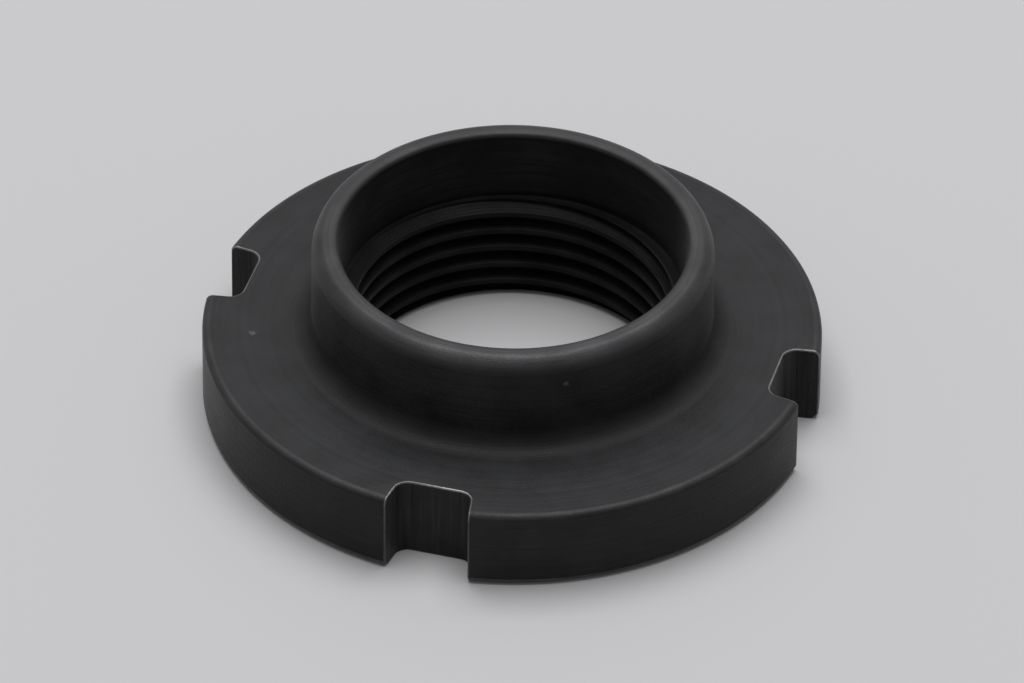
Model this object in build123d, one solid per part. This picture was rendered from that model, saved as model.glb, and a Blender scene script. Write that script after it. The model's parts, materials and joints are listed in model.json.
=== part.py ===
from build123d import *
import os
from math import radians, tan

# Ring nut for a shaft: a round flange with spanner slots in its edge, and a thin collar that is
# staked into the shaft's keyway once the nut is tight. It is one turned and milled piece of steel.
# Millimetres. The origin is the centre of the flange's seating face, and +Z runs along the
# thread's axis towards the collar's rim. One slot is centred on +X.

# Thread, a metric one of this diameter and pitch
thread_diameter = 24.0
thread_pitch = 1.5
minor_depth_per_pitch = 0.5413
lead_in = 0.55

# Flange
flange_diameter = 44.0
flange_thickness = 6.1
edge_break = 0.4
edge_radius = 0.5

# Collar
overall_height = 13.6
collar_wall = 1.9
collar_clearance = 0.35
collar_bore_depth = 5.5
ledge_chamfer = 0.3
cove_radius = 1.6
rim_radius = 1.25
rim_chamfer = 0.2

# Spanner slots, which open outwards from a flat floor
slot_count = 4
slot_floor_width = 5.2
slot_depth = 2.6
slot_flare = 9.0
slot_corner_radius = 0.95
cutter_overrun = 1.0

# Worked out from the sizes above
thread_radius = thread_diameter / 2
thread_minor_radius = thread_radius - minor_depth_per_pitch * thread_pitch
flange_radius = flange_diameter / 2
collar_bore_radius = thread_radius + collar_clearance
collar_radius = collar_bore_radius + collar_wall
collar_bore_floor = overall_height - collar_bore_depth


def turned_section():
    """Half section of the turned blank, in the XZ plane on the +X side of the axis."""
    with BuildSketch(Plane.XZ) as section:
        with BuildLine():
            flange = Polyline(
                (thread_minor_radius, lead_in),
                (thread_minor_radius + lead_in, 0),
                (flange_radius - edge_break, 0),
                (flange_radius, edge_break),
                (flange_radius, flange_thickness - edge_radius),
            )
            edge = RadiusArc(flange @ 1, (flange_radius - edge_radius, flange_thickness), -edge_radius)
            face = Line(edge @ 1, (collar_radius + cove_radius, flange_thickness))
            cove = RadiusArc(face @ 1, (collar_radius, flange_thickness + cove_radius), cove_radius)
            wall = Line(cove @ 1, (collar_radius, overall_height - rim_radius))
            rim = RadiusArc(wall @ 1, (collar_radius - rim_radius, overall_height), -rim_radius)
            Polyline(
                rim @ 1,
                (collar_bore_radius + rim_chamfer, overall_height),
                (collar_bore_radius, overall_height - rim_chamfer),
                (collar_bore_radius, collar_bore_floor),
                (thread_minor_radius + ledge_chamfer, collar_bore_floor),
                (thread_minor_radius, collar_bore_floor - ledge_chamfer),
                flange @ 0,
            )
        make_face()
    return section.sketch


def slot_cutter():
    """Outline of one spanner slot on +X, run out past the flange's edge."""
    floor_x = flange_radius - slot_depth
    floor_y = slot_floor_width / 2
    mouth_x = flange_radius + cutter_overrun
    mouth_y = floor_y + (mouth_x - floor_x) * tan(radians(slot_flare))
    with BuildSketch() as outline:
        with BuildLine():
            Polyline(
                (floor_x, -floor_y), (mouth_x, -mouth_y), (mouth_x, mouth_y), (floor_x, floor_y), close=True
            )
        make_face()
        fillet(outline.vertices().group_by(Axis.X)[0], slot_corner_radius)
    return outline.sketch


def ring_nut():
    with BuildPart() as nut:
        add(turned_section())
        revolve(axis=Axis.Z)
        with PolarLocations(0, slot_count):
            add(slot_cutter())
        extrude(amount=overall_height, mode=Mode.SUBTRACT)
    return nut.part


os.makedirs("parts", exist_ok=True)
export_step(ring_nut(), "parts/ring_nut.step")
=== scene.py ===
import json
from math import atan2, cos, hypot, pi, radians, sin, sqrt, tan

import bmesh
import bpy
from mathutils import Matrix, Vector


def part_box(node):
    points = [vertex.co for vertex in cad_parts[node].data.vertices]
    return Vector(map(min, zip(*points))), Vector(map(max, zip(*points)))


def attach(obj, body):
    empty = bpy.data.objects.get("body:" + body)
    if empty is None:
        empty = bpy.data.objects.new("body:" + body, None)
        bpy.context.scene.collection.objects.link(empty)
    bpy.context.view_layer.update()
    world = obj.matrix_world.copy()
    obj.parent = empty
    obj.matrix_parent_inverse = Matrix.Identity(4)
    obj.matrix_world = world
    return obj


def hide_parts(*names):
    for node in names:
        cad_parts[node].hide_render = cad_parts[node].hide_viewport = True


# A ring nut of dark phosphated steel: a round flange with four spanner slots, a thin collar and a
# fine threaded bore. The nut is modelled whole, with its real thread, round the solid's own sizes.
# The shapes are in metres and the finishes in millimetres, both in the solid's frame: the flange
# lies on z = 0 and the axis is Z.

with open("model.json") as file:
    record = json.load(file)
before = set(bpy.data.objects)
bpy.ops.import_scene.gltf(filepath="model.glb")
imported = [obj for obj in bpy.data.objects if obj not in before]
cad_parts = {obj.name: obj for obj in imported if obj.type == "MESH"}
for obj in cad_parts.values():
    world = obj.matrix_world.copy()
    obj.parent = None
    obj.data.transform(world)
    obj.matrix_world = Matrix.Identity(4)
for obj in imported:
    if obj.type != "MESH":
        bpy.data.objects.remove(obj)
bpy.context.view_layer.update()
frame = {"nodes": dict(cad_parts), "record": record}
mounts = {mount["name"]: mount for mount in frame["record"]["mounts"]}
MM = 0.001

# Sizes of the nut that the frame gives
bore_radius = mounts["thread"]["dims"]["r_mm"] * MM
collar_bore_radius = mounts["collar_bore"]["dims"]["r_mm"] * MM
collar_bore_middle = mounts["collar_bore"]["pos_m"][2]
collar_bore_floor = collar_bore_middle - mounts["collar_bore"]["dims"]["length_mm"] * MM / 2
overall_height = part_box("ring_nut")[1].z
flange_radius = max(hypot(v.co.x, v.co.y) for v in frame["nodes"]["ring_nut"].data.vertices)

# Thread, metric
pitch = 1.5 * MM
minor_depth_per_pitch = 0.5413
thread_radius = bore_radius + minor_depth_per_pitch * pitch
groove_flat = pitch / 8
flank_angle = radians(30)
lead_in = 0.55 * MM
ledge_chamfer = 0.3 * MM

# The coil that cuts the thread: how far it starts below the nut, and how far it stands into the bore
coil_run_in = 2 * pitch
coil_overlap = 0.2 * MM

# Flange and collar
flange_thickness = 6.1 * MM
edge_break = 0.4 * MM
edge_radius = 0.5 * MM
collar_wall = 1.9 * MM
collar_radius = collar_bore_radius + collar_wall
cove_radius = 1.6 * MM
rim_radius = 1.25 * MM
rim_chamfer = 0.2 * MM
soft_edge = 0.12 * MM

# Spanner slots, centred on X and Y
slot_count = 4
slot_floor_width = 5.2 * MM
slot_depth = 2.6 * MM
slot_flare = radians(9)
slot_corner_radius = 0.95 * MM
slot_floor = flange_radius - slot_depth

# How finely curves are divided
corner_steps = 6
arc_steps = 8
edge_steps = 4
soft_edge_steps = 2
rim_steps = 42
slot_steps = 15
coil_steps = 180
flat_margin = 0.5 * MM

# Limits for telling points, edges and faces apart
sharp = radians(25)
merge_distance = 0.001 * MM
nearly = 0.01 * MM
upright_below = 0.1

# Order of the nut's materials
TURNED, MILLED, WORN, THREADED, BORED = range(5)

# Colours and gloss
phosphate_dark = (0.0055, 0.0057, 0.0062, 1)
phosphate_pale = (0.034, 0.0346, 0.0366, 1)
bare_steel = (0.12, 0.12, 0.123, 1)
edge_steel = (0.26, 0.26, 0.264, 1)
floor_colour = (0.56, 0.56, 0.57, 1)
world_colour = (0.25, 0.25, 0.254, 1)
oiled_gloss = 0.17
bore_gloss = 0.08
crystal_sheen = 0.06
sheen_roughness = 0.35
floor_roughness = 0.9

# Most of a noise texture's values lie between these
noise_low, noise_high = 0.3, 0.7

# The lathe's rings: how close they lie and how they wander. The shift gives the coarse ones a
# pattern of their own.
rings_per_mm = 4.5
coarse_rings_per_mm = 1.3
fine_ring_share = 0.65
bends_per_mm = 0.15
bend = 0.8
coarse_ring_shift = 9

# The milled and the threaded lines, and how deep the tools' marks are
mill_lines_per_mm = 3.5
mill_drift_per_mm = 0.1
thread_lines_per_mm = 5
thread_line_ring = 4
turned_depth = 0.02 * MM
milled_depth = 0.04 * MM

# How many clouds, crystals and rubbed patches there are to a millimetre
clouds_per_mm = 0.35
crystals_per_mm = 7.0
rim_patches_per_mm = 0.3
edge_patches_per_mm = 0.5
wall_patches_per_mm = 0.25

# How much each thing makes the phosphate paler
# Painted light: how much paler the level faces are painted than the upright ones
painted_facing_tone = 0.5
cloud_tone = 0.24
mark_tone = 0.18
crystal_tone = 0.08

# Upright faces get only a share of the painted light that level faces get, and the bore only a share of the
# rest, which paints shade into it. A face counts as level between these two slopes, of 0 for upright and 1
# for flat.
upright_share = 0.12
level_from, level_to = 0.3, 0.9
# Painted shade: the small share of the paler patterns that the bore keeps, so it reads dark
bore_share = 0.15
bore_fade = 0.3

# How rough the surface is, and how far its patterns stand out
plain_roughness = 0.4
cloud_roughness = 0.08
crystal_roughness = 0.1
rubbed_smoothness = 0.08
crystal_height = 0.5
rubbed_height = 0.5
relief = 0.6

# Bare steel: the least that shows, and what the patches and the tool's marks add
rim_wear = 0.17, 0.18, 0.2
flange_edge_wear = 0.1, 0.15
sharp_edge_wear = 0.35, 0.4, 0.15
lower_edge_share = 0.4
mark_wear = 0.12
nick_wear = 0.7

# Where the steel is rubbed, in millimetres
rim_wear_start = (overall_height - rim_radius) / MM
flange_edge_start = (flange_radius - edge_radius) / MM
flange_edge_fade = 0.2, 0.1
flange_top = flange_thickness / MM
upper_edge_fade = 1.0, 0.1

# Small nicks, in millimetres: the middle and reach of each, and how ragged they are
nicks = [((-17.3, -6.4, 6.1), 0.3), ((7.3, -12.24, 11.5), 0.25)]
nick_core = 0.3
nick_grains_per_mm = 5
nick_ragged = 0.6, 0.9

# Camera and lamps
camera_target = Vector((0, 0, 4.4 * MM))
camera_azimuth = radians(15.4)
camera_elevation = radians(37.95)
camera_roll = radians(0.7)
camera_distance = 0.7075
camera_near, camera_far = 0.01, 20
lens_length = 350
sensor_width = 36
lamp_azimuth = radians(195)
lamp_distance = 1.0
floor_size = 6


# Modelling


def edit(piece):
    """Goes into edit mode on this piece alone, with nothing selected in it."""
    bpy.ops.object.select_all(action="DESELECT")
    piece.select_set(True)
    bpy.context.view_layer.objects.active = piece
    bpy.ops.object.mode_set(mode="EDIT")
    bpy.ops.mesh.select_all(action="DESELECT")


def leave_edit():
    bpy.ops.object.mode_set(mode="OBJECT")
    return bpy.context.object


def pick(kind, wanted):
    """Selects, in edit mode, the vertices, edges or faces whose corner points are all wanted."""
    bpy.ops.mesh.select_mode(type=kind)
    bpy.ops.mesh.select_all(action="DESELECT")
    mesh = bmesh.from_edit_mesh(bpy.context.object.data)
    if kind == "VERT":
        for vertex in mesh.verts:
            vertex.select_set(wanted(vertex.co))
    else:
        for part in mesh.edges if kind == "EDGE" else mesh.faces:
            part.select_set(all(wanted(vertex.co) for vertex in part.verts))
    mesh.select_flush_mode()
    bmesh.update_edit_mesh(bpy.context.object.data)


def pick_open_edges(height):
    """Selects, in edge mode, the open edges at this height."""
    bpy.ops.mesh.select_all(action="DESELECT")
    mesh = bmesh.from_edit_mesh(bpy.context.object.data)
    for edge in mesh.edges:
        level = all(abs(vertex.co.z - height) < nearly for vertex in edge.verts)
        edge.select_set(edge.is_boundary and level)
    bmesh.update_edit_mesh(bpy.context.object.data)


def from_axis(point):
    return hypot(point.x, point.y)


def on_a_flat(point):
    """Whether the point lies on one of the flange's two flat faces."""
    return min(abs(point.z), abs(point.z - flange_thickness)) < nearly


def on_the_rim(height):
    """A test for points at the flange's greatest radius and at this height."""
    return lambda point: from_axis(point) > flange_radius - nearly and abs(point.z - height) < nearly


def face_outwards():
    bpy.ops.mesh.select_all(action="SELECT")
    bpy.ops.mesh.normals_make_consistent(inside=False)


def soften():
    """Rounds every sharp edge a very little."""
    bpy.ops.mesh.select_mode(type="EDGE")
    bpy.ops.mesh.select_all(action="DESELECT")
    bpy.ops.mesh.edges_select_sharp(sharpness=sharp)
    bpy.ops.mesh.bevel(offset=soft_edge, segments=soft_edge_steps, clamp_overlap=False, material=WORN)


def give_finishes(piece, finishes):
    for finish in finishes:
        piece.data.materials.append(finish)


def mouth_corner():
    """Where a slot's flared side meets the flange's rim: its distance along the slot and across it."""
    slope = tan(slot_flare)
    start = slot_floor_width / 2 - slot_floor * slope
    square, half, rest = 1 + slope**2, start * slope, start**2 - flange_radius**2
    along = (sqrt(half**2 - square * rest) - half) / square
    return along, start + along * slope


def slot_outline(mouth_x, mouth_y):
    """Starts the outline with one slot: its floor, rounded corners and flared sides."""
    bpy.ops.object.select_all(action="DESELECT")
    middle = slot_floor + slot_floor_width / 2
    bpy.ops.mesh.primitive_plane_add(size=slot_floor_width, location=(middle, 0, 0))
    outline = bpy.context.object
    bpy.ops.object.transform_apply()
    edit(outline)
    pick("VERT", lambda point: point.x > slot_floor + nearly)
    bpy.ops.transform.resize(value=(1, 2 * mouth_y / slot_floor_width, 1))
    bpy.ops.transform.translate(value=(mouth_x - slot_floor - slot_floor_width, 0, 0))
    pick("VERT", lambda point: point.x < slot_floor + nearly)
    corner_reach = slot_corner_radius / tan((pi / 2 + slot_flare) / 2)
    bpy.ops.mesh.bevel(offset=corner_reach, segments=corner_steps, affect="VERTICES", clamp_overlap=False)
    pick("EDGE", lambda point: point.x > mouth_x - nearly)
    bpy.ops.mesh.delete(type="EDGE")


def flange_outline():
    """The flange's outline on z = 0: one slot and the rim after it, copied round."""
    mouth_x, mouth_y = mouth_corner()
    slot_outline(mouth_x, mouth_y)
    pick("VERT", lambda point: point.x > mouth_x - nearly and point.y < 0)
    rim_angle = 2 * pi / slot_count - 2 * atan2(mouth_y, mouth_x)
    bpy.ops.mesh.spin(steps=rim_steps, angle=rim_angle, center=(0, 0, 0), axis=(0, 0, 1))
    bpy.ops.mesh.select_all(action="SELECT")
    copies = slot_count - 1
    copied_angle = 2 * pi * copies / slot_count
    bpy.ops.mesh.spin(steps=copies, dupli=True, angle=copied_angle, center=(0, 0, 0), axis=(0, 0, 1))
    bpy.ops.mesh.select_all(action="SELECT")
    bpy.ops.mesh.remove_doubles(threshold=merge_distance)
    return leave_edit()


def slotted_flange(finishes):
    """The flange with broken edges, left open on its two flat faces."""
    slab = flange_outline()
    give_finishes(slab, finishes)
    edit(slab)
    bpy.ops.mesh.select_all(action="SELECT")
    bpy.ops.mesh.edge_face_add()
    bpy.ops.mesh.extrude_region_move(TRANSFORM_OT_translate={"value": (0, 0, flange_thickness)})
    face_outwards()
    pick("EDGE", on_the_rim(0))
    bpy.ops.mesh.bevel(offset=edge_break, segments=1, clamp_overlap=False)
    pick("EDGE", on_the_rim(flange_thickness))
    bpy.ops.mesh.bevel(offset=edge_radius, segments=edge_steps, clamp_overlap=False)
    soften()
    pick("FACE", on_a_flat)
    bpy.ops.mesh.delete(type="ONLY_FACE")
    return leave_edit()


def quarter_arc(centre, radius, start):
    """Points of a quarter circle in the half section, turning towards the rising angle from start."""
    angles = [start + pi / 2 * step / arc_steps for step in range(arc_steps + 1)]
    return [(centre[0] + radius * cos(a), centre[1] + radius * sin(a)) for a in angles]


def turned_stations():
    """Radius and height along the bore, over the collar's rim and down to the flange's face."""
    rim = quarter_arc((collar_radius - rim_radius, overall_height - rim_radius), rim_radius, 0)
    cove = quarter_arc((collar_radius + cove_radius, flange_thickness + cove_radius), cove_radius, pi)
    return [
        (bore_radius + lead_in + flat_margin, 0),
        (bore_radius + lead_in, 0),
        (bore_radius, lead_in),
        (bore_radius, collar_bore_floor - ledge_chamfer),
        (bore_radius + ledge_chamfer, collar_bore_floor),
        (collar_bore_radius, collar_bore_floor),
        (collar_bore_radius, overall_height - rim_chamfer),
        (collar_bore_radius + rim_chamfer, overall_height),
        *reversed(rim),
        *cove,
    ]


def turned_shell(finishes):
    """The bore and the collar, drawn from station to station out of one circle."""
    (radius, height), *rest = turned_stations()
    facets = slot_count * (rim_steps + slot_steps)
    bpy.ops.object.select_all(action="DESELECT")
    bpy.ops.mesh.primitive_circle_add(vertices=facets, radius=radius, location=(0, 0, height))
    shell = bpy.context.object
    give_finishes(shell, finishes)
    bpy.ops.object.transform_apply()
    edit(shell)
    bpy.ops.mesh.select_all(action="SELECT")
    for next_radius, next_height in rest:
        bpy.ops.mesh.extrude_edges_move(TRANSFORM_OT_translate={"value": (0, 0, next_height - height)})
        share = next_radius / radius
        bpy.ops.transform.resize(value=(share, share, 1), center_override=(0, 0, 0))
        radius, height = next_radius, next_height
    face_outwards()
    soften()
    return leave_edit()


def groove_section():
    """The thread groove's outline: narrow at the thread's radius and wide inside the bore."""
    root = bore_radius - coil_overlap
    height = thread_radius - root
    middle = root + height / 2
    bpy.ops.object.select_all(action="DESELECT")
    bpy.ops.mesh.primitive_plane_add(size=height, rotation=(pi / 2, 0, 0), location=(middle, 0, -coil_run_in))
    section = bpy.context.object
    bpy.ops.object.transform_apply()
    edit(section)
    pick("VERT", lambda point: point.x > root + nearly)
    bpy.ops.transform.resize(value=(1, 1, groove_flat / height))
    pick("VERT", lambda point: point.x < root + nearly)
    root_width = groove_flat + 2 * height * tan(flank_angle)
    bpy.ops.transform.resize(value=(1, 1, root_width / height))
    bpy.ops.mesh.select_all(action="SELECT")
    bpy.ops.mesh.delete(type="ONLY_FACE")
    return leave_edit()


def thread_cutter(finishes):
    """The coil that the thread's groove is cut with. It starts below the nut and ends in the collar."""
    cutter = groove_section()
    screw = cutter.modifiers.new("helix", "SCREW")
    screw.screw_offset = pitch
    screw.iterations = int((collar_bore_floor + 2 * coil_run_in) / pitch)
    screw.steps = screw.render_steps = coil_steps
    screw.use_smooth_shade = False
    bpy.ops.object.modifier_apply(modifier=screw.name)
    edit(cutter)
    bpy.ops.mesh.select_all(action="SELECT")
    bpy.ops.mesh.fill_holes(sides=4)
    face_outwards()
    leave_edit()
    give_finishes(cutter, finishes)
    for face in cutter.data.polygons:
        face.material_index = THREADED
    return cutter


def cut(piece, cutter):
    """Takes the cutter's shape out of the piece."""
    bpy.ops.object.select_all(action="DESELECT")
    piece.select_set(True)
    bpy.context.view_layer.objects.active = piece
    boolean = piece.modifiers.new("cut", "BOOLEAN")
    boolean.operation = "DIFFERENCE"
    boolean.solver = "EXACT"
    boolean.material_mode = "TRANSFER"
    boolean.object = cutter
    bpy.ops.object.modifier_apply(modifier=boolean.name)
    bpy.data.objects.remove(cutter)


def nut_body(finishes):
    """The nut without its thread: the slotted flange, and the turned bore and collar."""
    flange = slotted_flange(finishes)
    turned_shell(finishes)
    flange.select_set(True)
    bpy.context.view_layer.objects.active = flange
    bpy.ops.object.join()
    edit(flange)
    bpy.ops.mesh.select_mode(type="EDGE")
    for height in (0, flange_thickness):
        pick_open_edges(height)
        bpy.ops.mesh.fill(use_beauty=True)
    face_outwards()
    return leave_edit()


def share_out_finishes(nut):
    """Gives the slots' walls the milled finish, the bore's crests the thread's, the wall and ledge
    above them the bored one, and the softened edges within the collar the turned one."""
    bored_top = overall_height - rim_chamfer - soft_edge
    for face in nut.data.polygons:
        reach, height = from_axis(face.center), face.center.z
        upright = abs(face.normal.z) < upright_below
        within_slot = slot_floor - edge_break < reach < flange_radius - edge_break
        within_collar = collar_bore_floor - nearly < height < bored_top
        if face.material_index == TURNED and upright and within_slot:
            face.material_index = MILLED
        elif reach < bore_radius + nearly:
            face.material_index = THREADED
        elif reach < collar_bore_radius + nearly and within_collar:
            face.material_index = BORED
        elif face.material_index == WORN and reach < collar_radius + nearly:
            face.material_index = TURNED


def tidy_mesh(nut):
    """Merges what the cut left double, and shades the curves smooth and the edges sharp."""
    edit(nut)
    bpy.ops.mesh.select_all(action="SELECT")
    bpy.ops.mesh.remove_doubles(threshold=merge_distance)
    bpy.ops.mesh.dissolve_degenerate(threshold=merge_distance)
    leave_edit()
    bpy.ops.object.shade_smooth_by_angle(angle=sharp)
    weighted = nut.modifiers.new("weighted", "WEIGHTED_NORMAL")
    weighted.keep_sharp = True
    bpy.ops.object.modifier_apply(modifier=weighted.name)


def ring_nut():
    """The whole nut, which takes the place of the solid with the plain bore."""
    finishes = turned_steel(), milled_steel(), worn_steel(), threaded_steel(), bored_steel()
    nut = nut_body(finishes)
    nut.name = nut.data.name = "nut"
    cut(nut, thread_cutter(finishes))
    share_out_finishes(nut)
    tidy_mesh(nut)
    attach(nut, "root")
    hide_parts("ring_nut")


# Finishes


class Socket:
    """A socket in a material. Arithmetic written with it adds the Math nodes that work it out."""

    def __init__(self, tree, socket=None):
        self.tree = tree
        self.socket = socket

    def add(self, kind, settings, inputs, output=0):
        """Adds a node of any kind: its settings come first, then its inputs' values and links."""
        node = self.tree.nodes.new(kind)
        for name, setting in settings.items():
            setattr(node, name, setting)
        for name, value in inputs.items():
            if isinstance(value, Socket):
                self.tree.links.new(value.socket, node.inputs[name])
            else:
                node.inputs[name].default_value = value
        return Socket(self.tree, node.outputs[output])

    def maths(self, operation, *terms):
        return self.add("ShaderNodeMath", {"operation": operation}, dict(enumerate(terms)))

    def __add__(self, other):
        return self.maths("ADD", self, other)

    def __sub__(self, other):
        return self.maths("SUBTRACT", self, other)

    def __rsub__(self, other):
        return self.maths("SUBTRACT", other, self)

    def __mul__(self, other):
        return self.maths("MULTIPLY", self, other)

    __radd__ = __add__
    __rmul__ = __mul__


def parts_of(vector):
    return [vector.add("ShaderNodeSeparateXYZ", {}, {0: vector}, output) for output in "XYZ"]


def vector_of(x, y, z):
    return x.add("ShaderNodeCombineXYZ", {}, {"X": x, "Y": y, "Z": z})


def scaled(vector, share):
    return vector.add("ShaderNodeVectorMath", {"operation": "SCALE"}, {0: vector, "Scale": share})


def distance(vector, point):
    return vector.add("ShaderNodeVectorMath", {"operation": "DISTANCE"}, {0: vector, 1: point}, "Value")


def between(value, low, high):
    """Rises smoothly from 0 at the low value to 1 at the high one."""
    settings = {"interpolation_type": "SMOOTHSTEP"}
    return value.add("ShaderNodeMapRange", settings, {"Value": value, "From Min": low, "From Max": high})


def noise(vector, detail=2.0):
    """Soft noise from about 0 to 1, with features about 1 across."""
    rough = vector.add("ShaderNodeTexNoise", {}, {"Vector": vector, "Scale": 1.0, "Detail": detail})
    return between(rough, noise_low, noise_high)


def mixed(share, first, second):
    """The first colour where the share is 0, the second where it is 1."""
    return share.add("ShaderNodeMix", {"data_type": "RGBA"}, {0: share, 6: first, 7: second}, 2)


def built_up(amounts, *patterns):
    """The first amount everywhere, with each of the others added where its pattern is strong."""
    least, *shares = amounts
    return sum((share * pattern for share, pattern in zip(shares, patterns)), least)


def radius_of(place):
    """How far the place is from the nut's axis."""
    flattened = place.add("ShaderNodeVectorMath", {"operation": "MULTIPLY"}, {0: place, 1: (1, 1, 0)})
    return distance(flattened, (0, 0, 0))


def outside_bore(place):
    """0 within the bore and 1 on the rest of the nut."""
    edge = collar_bore_radius / MM
    return between(radius_of(place), edge, edge + bore_fade)


def painted_facing_light(place):
    """Painted light and shade: most on the level faces outside the bore, top and bottom, so they read lit and
    pale, a share on upright ones, which stay dark as if shaded, and none inside it.
    """
    normal = place.add("ShaderNodeNewGeometry", {}, {}, "Normal")
    level = parts_of(normal)[2]
    level = between(level.maths("ABSOLUTE", level), level_from, level_to)
    return outside_bore(place) * built_up((upright_share, 1 - upright_share), level)


def turned_marks(place):
    """Rings left by the lathe tool, fine and coarse, that wander a little."""
    z = parts_of(place)[2]
    radius = radius_of(place)
    wander = noise(scaled(place, bends_per_mm)) * bend
    fine = vector_of(radius * rings_per_mm, z * rings_per_mm, wander)
    coarse = vector_of(radius * coarse_rings_per_mm, z * coarse_rings_per_mm, wander + coarse_ring_shift)
    return noise(fine, detail=4.0) * fine_ring_share + noise(coarse, detail=1.0) * (1 - fine_ring_share)


def milled_marks(place):
    """Upright lines left by the cutter on a slot's walls."""
    x, y, z = parts_of(place)
    x, y = x.maths("ABSOLUTE", x), y.maths("ABSOLUTE", y)
    along = x.maths("MAXIMUM", x, y) * mill_lines_per_mm
    across = x.maths("MINIMUM", x, y) * mill_lines_per_mm
    return noise(vector_of(along, across, z * mill_drift_per_mm), detail=3.0)


def thread_marks(place):
    """Lines that run along the thread. A turn is laid out on a ring, so it has no seam at its end."""
    x, y, z = parts_of(place)
    turn = z * (2 * pi * MM / pitch) - x.maths("ARCTAN2", y, x)
    ring_x = turn.maths("COSINE", turn) * thread_line_ring
    ring_y = turn.maths("SINE", turn) * thread_line_ring
    return noise(vector_of(ring_x, ring_y, radius_of(place) * thread_lines_per_mm), detail=3.0)


def rubbed_rim(place, marks):
    """The collar's rim is rubbed bright on top, in rings, the flange's rounded edge a little, and so
    are a few small nicks."""
    height = parts_of(place)[2]
    patches = noise(scaled(place, rim_patches_per_mm))
    rim = between(height, rim_wear_start, overall_height / MM)
    inward, outward = flange_edge_fade
    edge = between(radius_of(place), flange_edge_start - inward, flange_edge_start + outward)
    edge = edge * between(height, (flange_thickness - edge_radius) / MM, flange_top)
    rubbed = rim * built_up(rim_wear, patches, marks) + edge * built_up(flange_edge_wear, patches)
    return nicked(place, rubbed)


def nicked(place, rubbed):
    """Adds the nicks to what is rubbed."""
    ragged = built_up(nick_ragged, noise(scaled(place, nick_grains_per_mm), detail=3.0))
    for middle, reach in nicks:
        away = between(distance(place, middle) * ragged, reach * nick_core, reach)
        rubbed = rubbed.maths("MAXIMUM", rubbed, nick_wear - nick_wear * away)
    return rubbed


def rubbed_edge(place, marks):
    """Sharp edges are rubbed nearly everywhere, most round the flange's upper face."""
    patches = noise(scaled(place, edge_patches_per_mm), detail=3.0)
    deepest, shallowest = upper_edge_fade
    upper = between(parts_of(place)[2], flange_top - deepest, flange_top - shallowest)
    where = built_up((lower_edge_share, 1 - lower_edge_share), upper)
    return where * built_up(sharp_edge_wear, patches, marks)


def rubbed_little(place, marks):
    """A few of the highest marks show steel."""
    patches = noise(scaled(place, wall_patches_per_mm))
    return mark_wear * patches * marks


def paleness(place, clouds, marks, crystals):
    """How pale the phosphate is: most on level faces, as painted light, and little in the bore, as painted
    shade.
    """
    # Painted shade: within the bore the paler patterns keep only a small share, so the bore reads dark
    unshaded_share = built_up((bore_share, 1 - bore_share), outside_bore(place))
    patterns = cloud_tone * clouds + mark_tone * marks + crystal_tone * crystals
    return painted_facing_tone * painted_facing_light(place) + unshaded_share * patterns


def steel(name, tool_marks, rubbed, depth, gloss=oiled_gloss, bare_colour=bare_steel):
    """Dark phosphate over steel. The tool's marks show in it, and it is thin where it is rubbed."""
    material = bpy.data.materials.new(name)
    material.use_nodes = True
    shader = material.node_tree.nodes["Principled BSDF"]
    shader.inputs["Specular IOR Level"].default_value = gloss
    shader.inputs["Sheen Weight"].default_value = crystal_sheen
    shader.inputs["Sheen Roughness"].default_value = sheen_roughness
    place = Socket(material.node_tree).add("ShaderNodeTexCoord", {}, {}, "Object")
    place = scaled(place, 1 / MM)
    marks = tool_marks(place)
    clouds = noise(scaled(place, clouds_per_mm), detail=6.0)
    crystals = noise(scaled(place, crystals_per_mm), detail=1.0)
    bare = rubbed(place, marks)
    phosphate = mixed(paleness(place, clouds, marks, crystals), phosphate_dark, phosphate_pale)
    roughness = built_up((plain_roughness, cloud_roughness, crystal_roughness), clouds, crystals)
    height = marks + crystal_height * crystals - rubbed_height * bare
    varying = {
        "Base Color": mixed(bare, phosphate, bare_colour),
        "Metallic": bare,
        "Roughness": roughness - rubbed_smoothness * bare,
        "Normal": bumped(height, depth),
    }
    for entry, value in varying.items():
        material.node_tree.links.new(value.socket, shader.inputs[entry])
    return material


def bumped(height, depth):
    """Normals that make the height stand out by up to this depth."""
    return height.add("ShaderNodeBump", {}, {"Height": height, "Strength": relief, "Distance": depth})


def turned_steel():
    return steel("turned_steel", turned_marks, rubbed_rim, turned_depth)


def milled_steel():
    return steel("milled_steel", milled_marks, rubbed_little, milled_depth)


def worn_steel():
    return steel("worn_steel", turned_marks, rubbed_edge, turned_depth, bare_colour=edge_steel)


def threaded_steel():
    return steel("threaded_steel", thread_marks, rubbed_little, turned_depth, bore_gloss)


def bored_steel():
    return steel("bored_steel", turned_marks, rubbed_little, turned_depth, bore_gloss)


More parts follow.
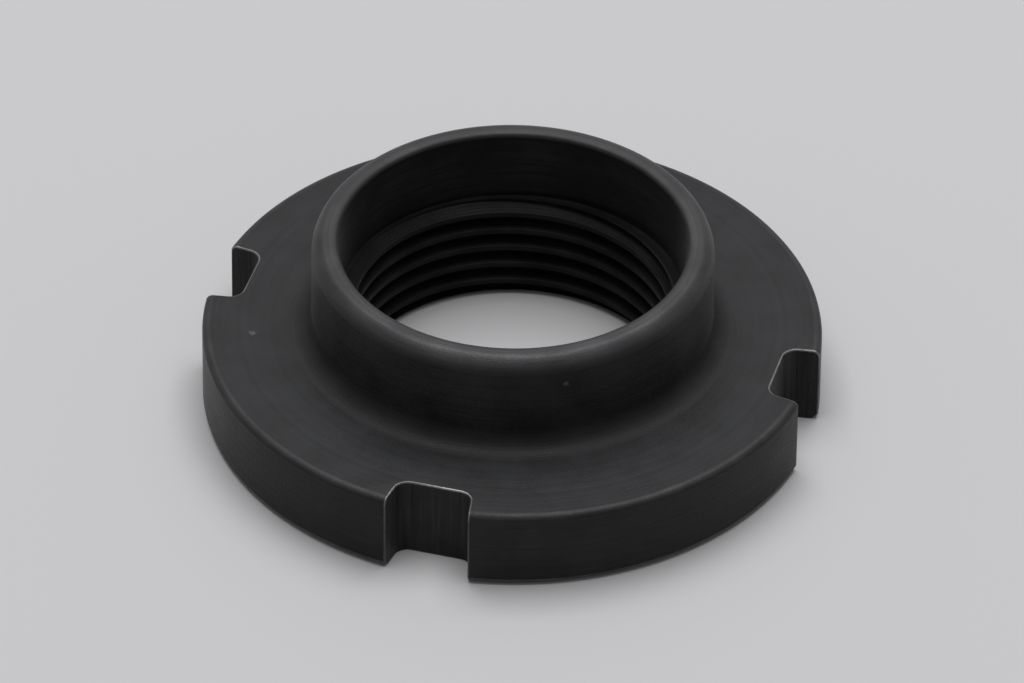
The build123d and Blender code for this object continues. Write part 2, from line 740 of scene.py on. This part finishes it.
def pale_floor():
    material = bpy.data.materials.new("pale_floor")
    material.use_nodes = True
    shader = material.node_tree.nodes["Principled BSDF"]
    shader.inputs["Base Color"].default_value = floor_colour
    shader.inputs["Roughness"].default_value = floor_roughness
    return material


# Studio


def aim(thing, place, target, roll=0.0):
    """Puts a lamp or camera at its place and points it at the target."""
    thing.location = place
    look = (target - place).to_track_quat("-Z", "Y")
    thing.rotation_euler = (look.to_matrix() @ Matrix.Rotation(roll, 3, "Z")).to_euler()


def around(azimuth, elevation, reach, target):
    """A place seen from the target at this azimuth, from the -Y side towards +X, and elevation."""
    level = cos(elevation) * reach
    return target + Vector((sin(azimuth) * level, -cos(azimuth) * level, sin(elevation) * reach))


def camera():
    eye = bpy.data.objects.new("camera", bpy.data.cameras.new("camera"))
    bpy.context.scene.collection.objects.link(eye)
    eye.data.sensor_width = sensor_width
    eye.data.lens = lens_length
    eye.data.clip_start, eye.data.clip_end = camera_near, camera_far
    place = around(camera_azimuth, camera_elevation, camera_distance, camera_target)
    aim(eye, place, camera_target, camera_roll)
    bpy.context.scene.camera = eye


def softbox(name, size, power, elevation):
    lamp = bpy.data.lights.new(name, "AREA")
    lamp.shape = "RECTANGLE"
    lamp.size, lamp.size_y = size
    lamp.energy = power
    holder = bpy.data.objects.new(name, lamp)
    bpy.context.scene.collection.objects.link(holder)
    holder.visible_camera = False
    middle = Vector((0, 0, overall_height / 2))
    aim(holder, around(lamp_azimuth, elevation, lamp_distance, middle), middle)


def studio():
    """A grey world, one softbox overhead, a weak one behind, and a plain pale floor."""
    world = bpy.data.worlds.new("studio")
    bpy.context.scene.world = world
    world.use_nodes = True
    sky = world.node_tree.nodes["Background"]
    sky.inputs["Color"].default_value = world_colour
    sky.inputs["Strength"].default_value = 1.0
    softbox("overhead_softbox", size=(0.9, 0.9), power=9.5, elevation=radians(80))
    softbox("back_softbox", size=(1.2, 0.5), power=0.8, elevation=radians(35))
    bpy.ops.object.select_all(action="DESELECT")
    bpy.ops.mesh.primitive_plane_add(size=floor_size)
    floor = bpy.context.object
    floor.name = "floor"
    floor.data.materials.append(pale_floor())
    bpy.context.scene.view_settings.view_transform = "Standard"


ring_nut()
camera()
studio()
